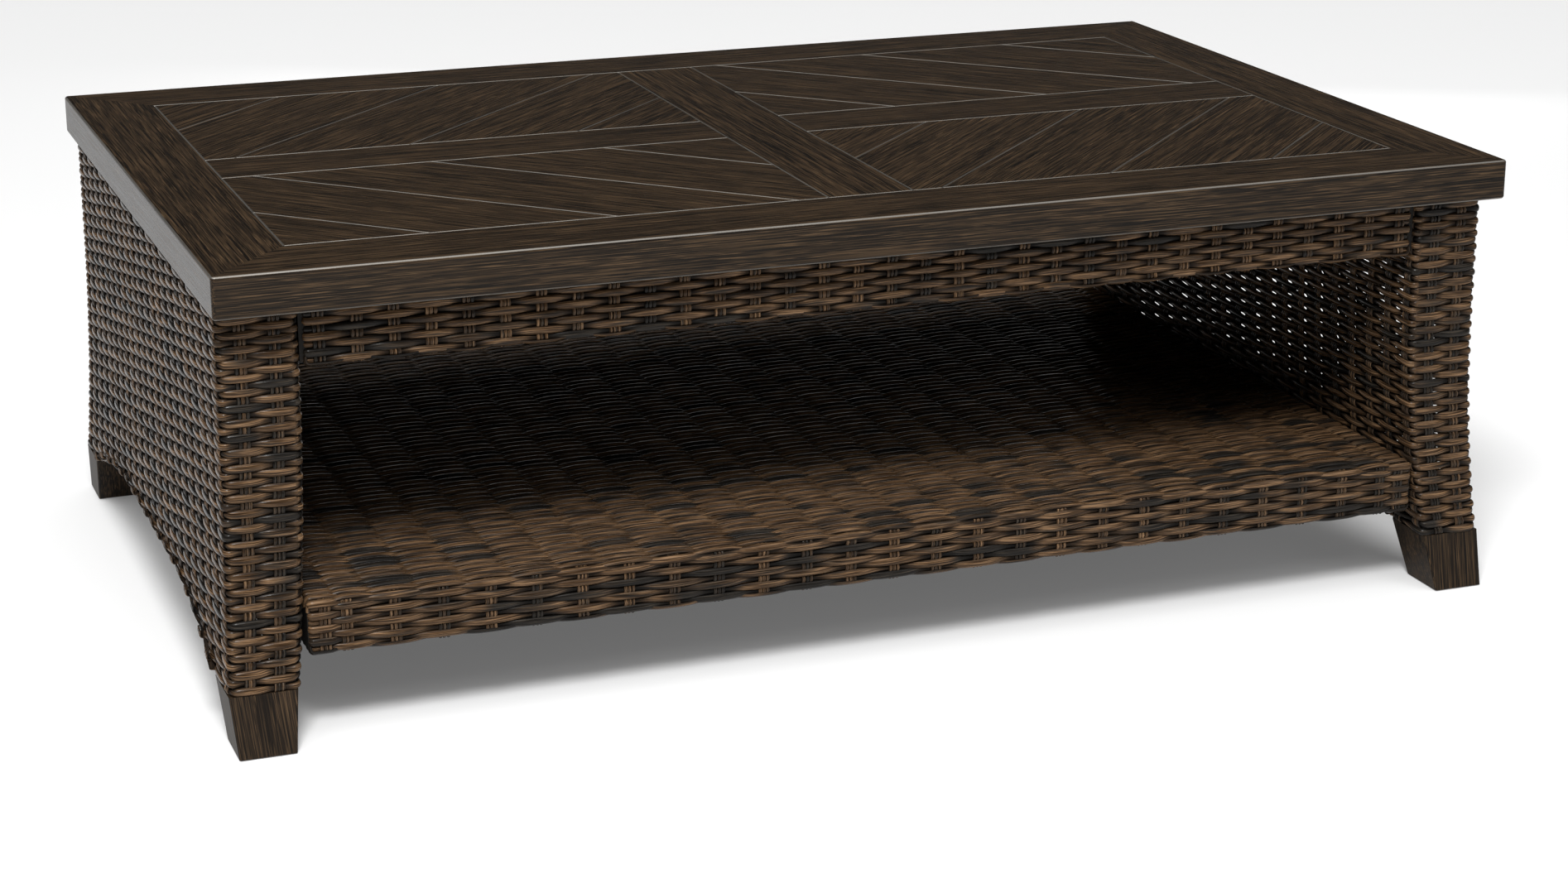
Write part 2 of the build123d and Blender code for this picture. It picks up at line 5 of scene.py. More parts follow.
import bpy
import numpy as np
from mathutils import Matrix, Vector

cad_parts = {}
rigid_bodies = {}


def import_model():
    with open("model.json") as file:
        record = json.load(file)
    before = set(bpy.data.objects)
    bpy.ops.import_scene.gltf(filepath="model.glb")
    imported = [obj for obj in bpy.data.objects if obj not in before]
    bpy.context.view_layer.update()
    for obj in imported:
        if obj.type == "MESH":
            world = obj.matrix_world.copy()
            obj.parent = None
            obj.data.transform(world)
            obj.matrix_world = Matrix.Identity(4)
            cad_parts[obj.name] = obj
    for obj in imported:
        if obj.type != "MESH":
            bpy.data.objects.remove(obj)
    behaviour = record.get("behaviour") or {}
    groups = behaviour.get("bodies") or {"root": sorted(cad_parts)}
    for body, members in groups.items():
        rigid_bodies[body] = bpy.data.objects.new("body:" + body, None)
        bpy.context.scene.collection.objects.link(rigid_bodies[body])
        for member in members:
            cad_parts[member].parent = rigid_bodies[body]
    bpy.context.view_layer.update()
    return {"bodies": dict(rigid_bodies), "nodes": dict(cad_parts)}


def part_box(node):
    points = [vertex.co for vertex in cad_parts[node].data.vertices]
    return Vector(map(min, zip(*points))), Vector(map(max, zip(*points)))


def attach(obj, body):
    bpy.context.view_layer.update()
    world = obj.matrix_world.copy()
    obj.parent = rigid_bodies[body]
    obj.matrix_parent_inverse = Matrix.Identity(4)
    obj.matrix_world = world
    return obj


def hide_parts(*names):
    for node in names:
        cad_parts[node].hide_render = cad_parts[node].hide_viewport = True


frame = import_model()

BODY = next(iter(frame["bodies"]))
NODES = frame["nodes"]
MM = 0.001

# ------------------------------------------------------------------ the weave
ROW_THICK = 3.0 * MM        # a weaver: a half-round strand that runs along a row
ROW_HALF = 3.35 * MM        # half its width, on average
ROW_SWELL = 0.55 * MM       # wider where it shows, narrower where it dives
ROW_SWING = 1.15 * MM       # how far it moves in and out round the stakes
ROW_DRIFT = 0.7 * MM        # how far it strays up and down
ROW_ROLL = 9                # how far it rolls, in degrees
STAKE_THICK = 2.0 * MM      # a stake: three thin strands side by side
STAKE_HALF = 2.0 * MM
STAKE_STEP = 3.7 * MM
STAKE_SWING = 1.3 * MM
STAKE_SUNK = 0.3 * MM       # the stake's knuckles stand this far below the weavers
CORNER = 8.0 * MM           # radius of a woven corner
TUCK = 2.0 * MM             # radius that a strand turns in with at its end
TUCK_REACH = 4.0 * MM
END_REACH = 12.0 * MM       # within this of its ends a strand is less shaded by its neighbours
STATIONS = 8                # points along a weaver from one stake to the next
STAKE_STATIONS = 3          # points along a stake from one row to the next
STEP = 0.5 * MM             # for slopes of a surface

PANEL_ROWS = 50
PANEL_PITCHES = (6.4, 7.4)  # relative: rows open up a little towards the floor
PANEL_BANDS = 3
PANEL_SIDE_STAKES = 22
PANEL_STAKE_INSET = 13 * MM
LEG_STAKE_SPREAD = 14.5 * MM
SIDE_NARROWER = 0.8 * MM    # on a panel's sides, strands are narrower, with small holes between
BOTTOM_ROWS = 9

APRON_PITCH = 6.9 * MM
APRON_STAKES = 33
APRON_END_STAKE = 14 * MM
SHELF_PITCH = 6.4 * MM
SHELF_SPANS = 24
SHELF_END_STAKES = (16 * MM, 36 * MM)
SHELF_BANDS = 3
SHELF_STAKE_SUNK = 1.4 * MM     # the weavers close over the stakes on top of the shelf
SHELF_STAKE_STATIONS = 2

# How a weaver is laid: its thickness and swing, how much wider and higher it is than usual, and how
# much it strays and rolls.
PLAIN = dict(thick=ROW_THICK, swing=ROW_SWING, wider=0.0, lift=0.0, stray=1.0)
TIGHT = dict(PLAIN, wider=0.25 * MM)
ARCHED = dict(thick=3.9 * MM, swing=1.6 * MM, wider=0.8 * MM, lift=1.3 * MM, stray=0.4)

# How much strands differ: least and greatest shares of the usual size, and small ripples.
WEAVER_THICKS = (0.94, 1.04)
WEAVER_WIDTHS = (0.95, 1.05)
WEAVER_WIDTH_RIPPLE = 0.07
WEAVER_DEPTH_RIPPLE = 0.15 * MM
STAKE_WIDTHS = (0.92, 1.04)
STAKE_LEAN = 0.6 * MM
STAKE_SIDE_RIPPLE = 0.25 * MM
STAKE_DEPTH_RIPPLE = 0.12 * MM

# Cross-sections of strands, as shares of half the width and of the thickness.
ROUND = np.array([
    (-1, 0.12), (-0.87, 0.58), (-0.5, 0.89), (0, 1), (0.5, 0.89), (0.87, 0.58), (1, 0.12), (0, 0)])
THIN = np.array([(-1, 0.15), (-0.62, 0.84), (0, 1), (0.62, 0.84), (1, 0.15), (0, 0)])

FACING = 0.6                # a face looks along an axis if its normal has more than this of it
SAME_PLACE = 0.2 * MM
WORN_METAL = (0.17, 0.158, 0.142)


# ------------------------------------------------------------------ measuring the frame
def profile(node, axis, sign, along):
    """Where a CAD node's face that looks along one axis lies, as a function of another axis."""
    mesh = NODES[node].data
    picked = sorted({i for p in mesh.polygons if sign * p.normal[axis] > FACING for i in p.vertices})
    points = np.array([mesh.vertices[i].co for i in picked])
    keys = np.unique(np.round(points[:, along], 4))
    faces = [sign * max(sign * points[abs(points[:, along] - key) < SAME_PLACE, axis]) for key in keys]
    return lambda place: np.interp(place, keys, faces)


def arch_reach(height):
    """How far from the middle of an end panel the arch has come down to this height."""
    y = np.linspace(0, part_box("right_weave_bottom")[1].y, 200)
    return float(np.interp(-height, -PANEL_ARCH(y), y))


PANEL_OUTER = profile("right_weave_outer", 0, 1, 2)
PANEL_INNER = profile("right_weave_inner", 0, -1, 2)
PANEL_FRONT = profile("right_weave_back", 1, 1, 2)
PANEL_ARCH = profile("right_weave_bottom", 2, -1, 1)
PANEL_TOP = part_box("right_weave_outer")[1].z
PANEL_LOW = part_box("right_weave_outer")[0].z


# ------------------------------------------------------------------ strands
def unit(vectors):
    return vectors / np.linalg.norm(vectors, axis=1, keepdims=True)


def wander(rng, along, spacing, closed=False):
    """Smooth random values between -1 and 1 along a strand."""
    start, span = along[0], along[-1] - along[0]
    knots = max(round(abs(span) / spacing), 3)
    values = rng.uniform(-1, 1, knots + 2)
    if closed:
        values[knots:] = values[:2]
    place = (along - start) / span * knots
    whole = np.minimum(place.astype(int), knots)
    part = place - whole
    ease = part * part * (3 - 2 * part)
    return values[whole] * (1 - ease) + values[whole + 1] * ease


class Strands:
    """Closed tubes collected into one mesh.

    Each point carries its place in its own strand (fibre), how charcoal it is (tone), and how far it is
    shaded by the strands round it (hollow): painted shade, which darkens its colour."""

    def __init__(self, seed):
        self.rng = np.random.default_rng(seed)
        self.points, self.quads, self.fibre, self.tone, self.hollow = [], [], [], [], []
        self.count = 0

    def add(self, centre, side, out, half, thick, along, tone, dive, section, closed=False):
        across, height = section.T
        n, k = len(centre), len(section)
        points = (
            centre[:, None]
            + side[:, None] * (half[:, None] * across)[..., None]
            + out[:, None] * (thick * height)[None, :, None]
        )
        index = self.count + np.arange(n * k).reshape(n, k)
        ahead = np.roll(index, -1, axis=0)
        here = index if closed else index[:-1]
        ahead = ahead if closed else ahead[:-1]
        quads = np.stack([here, np.roll(here, -1, 1), np.roll(ahead, -1, 1), ahead], -1).reshape(-1, 4)
        if not closed:
            caps = []
            for ring, turn in ((index[0], 1), (index[-1], -1)):
                for i in range(k // 2 - 1):
                    caps.append([ring[i], ring[k - 1 - i], ring[k - 2 - i], ring[i + 1]][::-turn])
            quads = np.vstack([quads, caps])
        if np.dot(centre[1] - centre[0], np.cross(out[0], side[0])) < 0:
            quads = quads[:, ::-1]
        offset = self.rng.uniform(0, 50)
        self.points.append(points.reshape(-1, 3))
        self.quads.append(quads)
        fibre = np.zeros((n, k, 3))
        fibre[..., 0] = along[:, None]
        fibre[..., 1] = half[:, None] * np.cumsum(np.r_[0, np.hypot(*np.diff(section[:-1], axis=0).T), 0.3])
        fibre[..., 2] = offset
        self.fibre.append(fibre.reshape(-1, 3))
        self.tone.append(np.repeat(tone, k))
        # painted shade: a strand's colour is darkened at its edges, where they lie against its neighbours,
        # and where it dives
        edge = np.clip((0.9 - height) / 0.75, 0, 1)     # a strand's edges lie against its neighbours
        self.hollow.append((1 - (1 - edge[None, :]) * (1 - dive[:, None])).ravel())
        self.count += n * k

    def mesh(self, name):
        mesh = bpy.data.meshes.new(name)
        points, quads = np.vstack(self.points), np.vstack(self.quads)
        mesh.vertices.add(len(points))
        mesh.vertices.foreach_set("co", points.astype(np.float32).ravel())
        mesh.loops.add(quads.size)
        mesh.loops.foreach_set("vertex_index", quads.astype(np.int32).ravel())
        mesh.polygons.add(len(quads))
        mesh.polygons.foreach_set("loop_start", np.arange(0, quads.size, 4, dtype=np.int32))
        mesh.update(calc_edges=True)
        mesh.shade_smooth()
        fibre = mesh.attributes.new("fibre", "FLOAT_VECTOR", "POINT")
        fibre.data.foreach_set("vector", np.vstack(self.fibre).astype(np.float32).ravel())
        for key, values in (("tone", self.tone), ("hollow", self.hollow)):
            layer = mesh.attributes.new(key, "FLOAT", "POINT")
            layer.data.foreach_set("value", np.concatenate(values).astype(np.float32))
        return mesh


def surface(sheet, u, v, outward):
    """Points of a sheet with its unit directions along u, along v and outward."""
    along = sheet(u + STEP, v) - sheet(u - STEP, v)
    up = sheet(u, v + STEP) - sheet(u, v - STEP)
    return sheet(u, v), unit(along), unit(up), unit(outward * np.cross(along, up))


def tucked(centre, side, out, travel, at_end):
    """Stations that turn a strand's end round a small radius and on into the work."""
    last = -1 if at_end else 0
    ahead = travel[last] if at_end else -travel[last]
    bend = np.radians([22, 45, 68, 90, 90])
    reach = np.array([0, 0, 0, 0, TUCK_REACH])
    turn_in = TUCK * (1 - np.cos(bend)) + reach
    places = centre[last] + np.outer(TUCK * np.sin(bend), ahead) - np.outer(turn_in, out[last])
    outs = np.outer(np.cos(bend), out[last]) + np.outer(np.sin(bend), ahead)
    sides = np.repeat(side[last][None], len(bend), axis=0)
    lengths = TUCK * bend + reach
    return places, sides, outs, lengths


def with_tucks(centre, side, out, travel, along, tucks, *values):
    """The same strand with its ends tucked in; values are carried on unchanged."""
    values = list(values)
    for at_end in (False, True):
        if not tucks[at_end]:
            continue
        places, sides, outs, lengths = tucked(centre, side, out, travel, at_end)
        if at_end:
            centre, side, out = (np.vstack(pair) for pair in ((centre, places), (side, sides), (out, outs)))
            along = np.r_[along, along[-1] + lengths]
            values = [np.r_[x, np.repeat(x[-1], len(lengths))] for x in values]
        else:
            pairs = ((places[::-1], centre), (sides[::-1], side), (outs[::-1], out))
            centre, side, out = (np.vstack(pair) for pair in pairs)
            along = np.r_[along[0] - lengths[::-1], along]
            values = [np.r_[np.repeat(x[0], len(lengths)), x] for x in values]
    return centre, side, out, along, values


def open_ends(along):
    """1 along a strand, falling to 0 at its ends, which are out in the light."""
    return np.clip(np.minimum(along - along[0], along[-1] - along) / END_REACH, 0, 1)


def weaver(strands, sheet, outward, u, v, row, stakes, closed=False, tucks=(True, True), gauge=PLAIN):
    """One strand along a row, over and under the stakes."""
    rng = strands.rng
    places, numbers = stakes
    swing = np.cos(math.pi * (np.interp(u, places, numbers) + row))
    swing = swing * (1.5 - 0.5 * swing**2)
    drift = 0.6 * wander(rng, u, 0.06, closed) + 0.4 * wander(rng, u, 0.3, closed)
    drift = gauge["stray"] * ROW_DRIFT * drift
    point, travel, up, out = surface(sheet, u, v + drift, outward)
    thick = gauge["thick"] * rng.uniform(*WEAVER_THICKS)
    depth = gauge["thick"] - gauge["lift"] + gauge["swing"] * (1 - swing)
    depth = depth + WEAVER_DEPTH_RIPPLE * wander(rng, u, 0.05, closed)
    half = (ROW_HALF + ROW_SWELL * swing + gauge["wider"]) * rng.uniform(*WEAVER_WIDTHS)
    half = half * (1 + WEAVER_WIDTH_RIPPLE * wander(rng, u, 0.03, closed))
    mood = wander(rng, u, 0.09, closed) + 0.6 * wander(rng, u, 0.5, closed) + rng.uniform(-0.45, 0.45)
    tone = np.clip((mood - 0.6) / 0.3, 0, 1)
    # painted shade: where the weaver dives under a stake its colour is darkened
    dive = np.clip(0.15 - 0.85 * swing, 0, 1)
    if not closed:
        dive = dive * open_ends(u)
    centre = point - out * depth[:, None]
    roll = gauge["stray"] * np.radians(ROW_ROLL) * wander(rng, u, 0.04, closed)[:, None]
    side = up * np.cos(roll) + out * np.sin(roll)
    out = out * np.cos(roll) - up * np.sin(roll)
    if not closed:
        centre, side, out, u, (half, tone, dive) = with_tucks(
            centre, side, out, travel, u, tucks, half, tone, dive)
    strands.add(centre, side, out, half, thick, u, tone, dive, ROUND, closed)


def stake(strands, sheet, outward, u, v, rows, number, tucks=(False, False), sunk=STAKE_SUNK):
    """Three thin strands across the rows; rows is (places along v, row numbers)."""
    rng = strands.rng
    places, numbers = rows
    lean = STAKE_LEAN * wander(rng, v, 0.08)
    base = rng.uniform(-0.5, 0.9)
    for lane in (-1, 0, 1):
        place = np.full(len(v), u + lane * STAKE_STEP) + lean + STAKE_SIDE_RIPPLE * wander(rng, v, 0.03)
        swing = -np.cos(math.pi * (number + np.interp(v, places, numbers)))
        point, along, travel, out = surface(sheet, place, v, outward)
        crest = sunk + STAKE_SWING * (1 - swing) + STAKE_DEPTH_RIPPLE * wander(rng, v, 0.02)
        half = np.full(len(v), STAKE_HALF * rng.uniform(*STAKE_WIDTHS))
        tone = np.clip(0.2 + base + 0.5 * wander(rng, v, 0.05), 0, 1)
        # painted shade: where a stake dives under a weaver its colour is darkened
        dive = np.clip(0.35 - 0.75 * swing, 0, 1) * open_ends(v)
        centre = point - out * (crest + STAKE_THICK)[:, None]
        centre, side, out, along, (half, tone, dive) = with_tucks(
            centre, along, out, travel, v, tucks, half, tone, dive)
        strands.add(centre, side, out, half, STAKE_THICK, along, tone, dive, THIN)


def finish_weave(strands, name, nodes):
    """Turn collected strands into a piece that stands for its CAD nodes."""
    piece = bpy.data.objects.new(name, strands.mesh(name))
    bpy.context.scene.collection.objects.link(piece)
    piece.data.materials.append(WICKER)
    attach(piece, BODY)
    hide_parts(*nodes)


def stations(start, end, pitch, per_pitch, extra=()):
    """Places along a strand: evenly spaced, and closer together where extra says."""
    count = max(round(abs(end - start) / pitch * per_pitch), 2)
    places = np.linspace(start, end, count + 1)
    more = [x for x in extra if min(start, end) < x < max(start, end)]
    return np.unique(np.round(np.r_[places, more], 5))


# ------------------------------------------------------------------ end panels
class Panel:
    """An end panel's woven loop: u runs round it from the front face, v is the height."""

    def __init__(self, side):
        self.mirror = -1 if side == "left" else 1
        middle = (PANEL_TOP + PANEL_LOW) / 2
        face = PANEL_OUTER(middle) - PANEL_INNER(middle) - 2 * CORNER
        length = 2 * (PANEL_FRONT(PANEL_TOP) - CORNER)
        arc = math.pi / 2 * CORNER
        self.spans = [face, arc, length, arc, face, arc, length, arc]
        self.starts = np.r_[0, np.cumsum(self.spans)]
        self.length = self.starts[-1]
        inset = PANEL_STAKE_INSET - CORNER
        side_places = np.linspace(inset, length - inset, PANEL_SIDE_STAKES)
        leg_places = face / 2 + np.array([-1, 1]) * LEG_STAKE_SPREAD
        self.faces = {"front": leg_places, "outer": self.starts[2] + side_places,
                      "back": self.starts[4] + leg_places, "inner": self.starts[6] + side_places}
        places = np.concatenate(list(self.faces.values()))
        count = len(places)
        self.pitch = side_places[1] - side_places[0]
        self.stakes = (
            np.r_[places - self.length, places, places + self.length],
            np.arange(3 * count) - count,
        )
        self.number = dict(zip(np.round(places, 6), range(count)))
        pitches = np.linspace(*PANEL_PITCHES, PANEL_ROWS - 1)
        drop = np.r_[0, np.cumsum(pitches)]
        first = PANEL_TOP - ROW_HALF
        last = PANEL_LOW + ROW_HALF + ROW_SWELL
        self.heights = first - drop * (first - last) / drop[-1]

    def sheet(self, u, v):
        """The panel's surface: four faces joined by four corner arcs."""
        u = np.mod(u, self.length)
        section = np.clip(np.searchsorted(self.starts, u, "right") - 1, 0, 7)
        part = (u - self.starts[section]) / np.array(self.spans)[section]
        low_x, high_x = PANEL_INNER(v) + CORNER, PANEL_OUTER(v) - CORNER
        half_y = PANEL_FRONT(v) - CORNER
        corners_x = np.stack([high_x, high_x, low_x, low_x])
        corners_y = np.stack([-half_y, half_y, half_y, -half_y])
        face = section // 2
        column = np.arange(len(u))
        on_arc = section % 2 == 1
        before = (face - 1) % 4
        share = np.where(on_arc, 1.0, part)
        x = corners_x[before, column] * (1 - share) + corners_x[face, column] * share
        y = corners_y[before, column] * (1 - share) + corners_y[face, column] * share
        angle = np.radians(90.0) * (face - 1 + np.where(on_arc, part, 0.0))
        x = x + CORNER * np.cos(angle)
        y = y + CORNER * np.sin(angle)
        return np.stack([self.mirror * x, y, v], axis=1)

    def corner_places(self, turn):
        """Places along u that follow the four corners closely, a number of turns on."""
        places = [np.linspace(self.starts[i], self.starts[i + 1], 7) for i in (1, 3, 5, 7)]
        return np.concatenate(places) + turn * self.length

    def side_place(self, face, y, height):
        """Place along u where the outer or inner face has this y."""
        half = PANEL_FRONT(height) - CORNER
        share = (y + half) / (2 * half)
        if face == "inner":
            return self.starts[6] + (1 - share) * self.spans[6]
        return self.starts[2] + share * self.spans[2]

    def gauge(self, u):
        """Tight strands round the legs, narrower ones on the outer and inner faces."""
        on_side = np.interp(np.mod(u, self.length), self.starts, [0, 0, 1, 1, 0, 0, 1, 1, 0])
        return dict(TIGHT, wider=TIGHT["wider"] - SIDE_NARROWER * on_side)

    def row(self, strands, number):
        """One row: a closed loop above the arch, and one run round each leg below its crown."""
        height = self.heights[number]
        extra = np.concatenate([self.corner_places(turn) for turn in (-1, 0, 1)])
        crown = PANEL_ARCH(0.0)
        if height - ROW_HALF > crown:
            u = stations(0, self.length, self.pitch, STATIONS, extra)[:-1]
            weaver(strands, self.sheet, self.mirror, u, np.full(len(u), height), number, self.stakes,
                   closed=True, gauge=self.gauge(u))
            return
        edge = arch_reach(height - ROW_HALF) + TUCK + ROW_THICK
        runs = (
            (self.side_place("inner", -edge, height) - self.length, self.side_place("outer", -edge, height)),
            (self.side_place("outer", edge, height), self.side_place("inner", edge, height)),
        )
        for start, end in runs:
            u = stations(start, end, self.pitch, STATIONS, extra)
            weaver(strands, self.sheet, self.mirror, u, np.full(len(u), height), number, self.stakes,
                   gauge=self.gauge(u))

    def stake_line(self, strands, face, place):
        """One stake of a face, from the foot or the arch up to the top."""
        if face in ("front", "back"):
            low = PANEL_LOW
        else:
            y = self.sheet(np.array([place]), np.array([PANEL_LOW]))[0, 1]
            low = float(PANEL_ARCH(y))
        pitch = (PANEL_TOP - PANEL_LOW) / PANEL_ROWS
        v = stations(low + TUCK + STAKE_THICK, PANEL_TOP, pitch, STAKE_STATIONS)
        rows = (self.heights[::-1], np.arange(PANEL_ROWS)[::-1])
        number = self.number[round(place, 6)]
        stake(strands, self.sheet, self.mirror, place, v, rows, number, tucks=(True, False))

    def bottom_sheet(self, u, v):
        """Underside of the arch: u is y, v runs from the inner face (0) to the outer face."""
        z = PANEL_ARCH(u)
        return np.stack([self.mirror * (PANEL_INNER(z) + v), u, z], axis=1)

    def bottom(self, strands):
        """The weave on the underside of the arch."""
        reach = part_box("right_weave_bottom")[1].y - TUCK
        width = PANEL_OUTER(PANEL_ARCH(0.0)) - PANEL_INNER(PANEL_ARCH(0.0))
        ys = [self.sheet(np.array([p]), np.array([PANEL_LOW]))[0, 1] for p in self.faces["outer"]]
        places = np.array([y for y in ys if abs(y) < reach])
        rows = np.linspace(ROW_HALF, width - ROW_HALF, BOTTOM_ROWS)
        for number, v in enumerate(rows):
            u = stations(-reach, reach, self.pitch, STATIONS)
            weaver(strands, self.bottom_sheet, self.mirror, u, np.full(len(u), v), number,
                   (places, np.arange(len(places))), tucks=(False, False))
        for number, y in enumerate(places):
            v = stations(TUCK, width - TUCK, rows[1] - rows[0], STAKE_STATIONS)
            stake(strands, self.bottom_sheet, self.mirror, y, v, (rows, np.arange(BOTTOM_ROWS)), number,
                  tucks=(True, True))


def weave_panel(side, seed):
    """An end panel in seven pieces: three bands of weavers, three groups of stakes and the arch."""
    panel = Panel(side)
    skins = [f"{side}_weave_{face}" for face in ("outer", "inner", "front", "back")]
    for band, numbers in enumerate(np.array_split(np.arange(PANEL_ROWS), PANEL_BANDS)):
        strands = Strands(seed + band)
        for number in numbers:
            panel.row(strands, number)
        finish_weave(strands, f"{side}_weavers_{band + 1}", skins)
    for offset, faces in enumerate((("outer",), ("inner",), ("front", "back"))):
        strands = Strands(seed + 10 + offset)
        for face in faces:
            for place in panel.faces[face]:
                panel.stake_line(strands, face, place)
        name = "legs" if len(faces) > 1 else faces[0]
        finish_weave(strands, f"{side}_stakes_{name}", [f"{side}_weave_{face}" for face in faces])
    strands = Strands(seed + 20)
    panel.bottom(strands)
    finish_weave(strands, f"{side}_arch_weave", [f"{side}_weave_bottom"])


# ------------------------------------------------------------------ apron and shelf
def rounded_path(corners, radius):
    """Length along a path with its corners rounded, and its points, closely spaced."""
    points = [np.array(corners[0], float)]
    for before, corner, after in zip(corners, corners[1:], corners[2:]):
        before, corner, after = (np.array(p, float) for p in (before, corner, after))
        to_before = (before - corner) / np.linalg.norm(before - corner)
        to_after = (after - corner) / np.linalg.norm(after - corner)
        centre = corner + radius * (to_before + to_after)
        for angle in np.linspace(0, math.pi / 2, 24):
            points.append(centre - radius * (to_after * math.cos(angle) + to_before * math.sin(angle)))
    points.append(np.array(corners[-1], float))
    points = np.array(points)
    return np.r_[0, np.cumsum(np.linalg.norm(np.diff(points, axis=0), axis=1))], points


def path_sheet(lengths, points, turn):
    """A sheet that is the same all along x: u is x, v is the length along the path in (y, z)."""
    def sheet(u, v):
        y = np.interp(v, lengths, points[:, 0])
        z = np.interp(v, lengths, points[:, 1])
        return np.stack([turn * u, turn * y, z], axis=1)
    return sheet


def row_places(total, pitch):
    """Middles of the rows that fill a length, as near the pitch as whole rows allow."""
    count = round(total / pitch)
    return (np.arange(count) + 0.5) * total / count


def weave_rows(strands, sheet, outward, rows, numbers, half, places, pitch, gauge=PLAIN):
    """The numbered weavers from end to end of a straight piece, both ends turned in."""
    end = half - TUCK - ROW_THICK
    index = np.arange(len(places))
    for i in numbers:
        u = stations(-end, end, pitch, STATIONS)
        weaver(strands, sheet, outward, u, np.full(len(u), rows[i]), i, (places, index), gauge=gauge)


def weave_apron(end, seed):
    """The front or back apron: a sleeve round its tube, open at the top."""
    low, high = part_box("apron_weave_front")
    turn = 1 if end == "front" else -1
    lengths, points = rounded_path(
        [(low.y, high.z), (low.y, low.z), (high.y, low.z), (high.y, high.z)], CORNER / 2)
    sheet = path_sheet(lengths, points, turn)
    half = high.x
    places = np.linspace(-half + APRON_END_STAKE, half - APRON_END_STAKE, APRON_STAKES)
    rows = row_places(lengths[-1], APRON_PITCH)
    strands = Strands(seed)
    index = np.arange(len(rows))
    weave_rows(strands, sheet, -1, rows, index, half, places, places[1] - places[0], TIGHT)
    v = stations(0, lengths[-1], APRON_PITCH, STAKE_STATIONS)
    for number, place in enumerate(places):
        stake(strands, sheet, -1, place, v, (rows, index), number)
    finish_weave(strands, f"{end}_apron_weave", [f"apron_weave_{end}"])


def weave_shelf(seed):
    """The shelf: one sheet over the top, down both edges and a little way in underneath."""
    low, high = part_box("shelf_weave_front")
    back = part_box("shelf_weave_back")[1].y
    turn_in = high.y - low.y
    lengths, points = rounded_path(
        [(low.y + turn_in, low.z), (low.y, low.z), (low.y, high.z),
         (back, high.z), (back, low.z), (back - turn_in, low.z)], CORNER * 0.75)
    sheet = path_sheet(lengths, points, 1)
    half = high.x
    first, second = SHELF_END_STAKES
    middle = np.linspace(-half + second, half - second, SHELF_SPANS + 1)
    places = np.r_[-half + first, middle, half - first]
    pitch = middle[1] - middle[0]
    rows = row_places(lengths[-1], SHELF_PITCH)
    wrap = turn_in + high.z - low.z
    on_top = (rows > wrap) & (rows < lengths[-1] - wrap)
    index = np.arange(len(rows))
    groups = {
        "shelf_front_weavers": (index[rows <= wrap], "shelf_weave_front", PLAIN),
        "shelf_back_weavers": (index[rows >= lengths[-1] - wrap], "shelf_weave_back", PLAIN),
    }
    for band, numbers in enumerate(np.array_split(index[on_top], SHELF_BANDS)):
        groups[f"shelf_top_weavers_{band + 1}"] = (numbers, "shelf_weave_top", ARCHED)
    for offset, (name, (numbers, node, gauge)) in enumerate(groups.items()):
        strands = Strands(seed + offset)
        weave_rows(strands, sheet, 1, rows, numbers, half, places, pitch, gauge)
        finish_weave(strands, name, [node])
    v = stations(0, lengths[-1], SHELF_PITCH, SHELF_STAKE_STATIONS)
    inside = np.minimum(v - wrap, lengths[-1] - wrap - v)
    sunk = np.interp(inside, [0, 2 * SHELF_PITCH], [STAKE_SUNK, SHELF_STAKE_SUNK])
    for half_name, chosen in (("left", places < 0), ("right", places >= 0)):
        strands = Strands(seed + 20 + (half_name == "left"))
        for number in np.flatnonzero(chosen):
            stake(strands, sheet, 1, places[number], v, (rows, index), number, sunk=sunk)
        finish_weave(strands, f"shelf_stakes_{half_name}",
                     ["shelf_weave_top", "shelf_weave_front", "shelf_weave_back"])


# ------------------------------------------------------------------ materials
def new_material(name):
    material = bpy.data.materials.new(name)
    material.use_nodes = True
    nodes = material.node_tree.nodes
    shader = next(n for n in nodes if n.type == "BSDF_PRINCIPLED")
    return material, material.node_tree, shader


def add_node(tree, kind, **settings):
    node = tree.nodes.new(kind)
    for key, value in settings.items():
        setattr(node, key, value)
    return node


def stretched(tree, source, size, turn=0.0, place=(0, 0, 0)):
    """Coordinates divided by a grain's size, after turning its length onto x."""
    mapping = add_node(tree, "ShaderNodeMapping", vector_type="TEXTURE")
    mapping.inputs["Scale"].default_value = size
    mapping.inputs["Rotation"].default_value = (0, 0, turn)
    mapping.inputs["Location"].default_value = place
    tree.links.new(source, mapping.inputs["Vector"])
    return mapping.outputs["Vector"]


def noise(tree, vector, detail, roughness=0.55):
    texture = add_node(tree, "ShaderNodeTexNoise")
    texture.inputs["Scale"].default_value = 1.0
    texture.inputs["Detail"].default_value = detail
    texture.inputs["Roughness"].default_value = roughness
    tree.links.new(vector, texture.inputs["Vector"])
    return texture.outputs["Fac"]


def ramp(tree, factor, *stops):
    """Colours over a factor, given as (position, colour)."""
    node = add_node(tree, "ShaderNodeValToRGB")
    elements = node.color_ramp.elements
    while len(elements) < len(stops):
        elements.new(0.5)
    for element, (position, colour) in zip(elements, stops):
        element.position = position
        element.color = (*colour, 1)
    tree.links.new(factor, node.inputs["Fac"])
    return node.outputs["Color"]


def spread(tree, factor, low, high, from_low=0.3, from_high=0.7):
    """A factor spread over another range; noise lies mostly between 0.3 and 0.7."""
    node = add_node(tree, "ShaderNodeMapRange")
    for name, value in (("From Min", from_low), ("From Max", from_high), ("To Min", low), ("To Max", high)):
        node.inputs[name].default_value = value
    tree.links.new(factor, node.inputs["Value"])
    return node.outputs["Result"]


